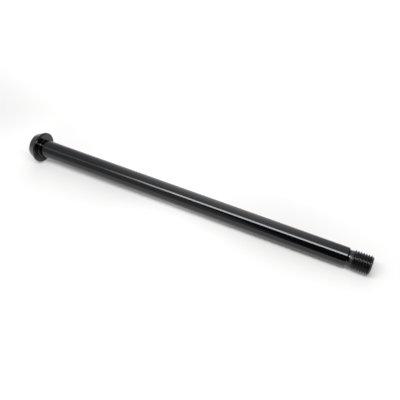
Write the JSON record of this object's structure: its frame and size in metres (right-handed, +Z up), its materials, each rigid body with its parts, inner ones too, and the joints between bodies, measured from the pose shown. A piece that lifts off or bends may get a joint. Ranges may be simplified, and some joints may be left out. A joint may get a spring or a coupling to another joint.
{
  "type": "bicycle rear thru axle",
  "caption": "Black anodised rear thru axle, a long hollow 12 mm rod with a round flanged head, a hexagon socket and a fine screw thread at the tip.",
  "frame": {"origin": "centre of the bounding box on the floor that the axle lies on", "axes": "+X along the axle from its head to its threaded tip, +Z up from the floor"},
  "size_m": [0.2358, 0.021, 0.021],
  "materials": {
    "black_anodised": "satin black anodised"
  },
  "bodies": {
    "root": {"axle": "black_anodised"}
  },
  "joints": []
}
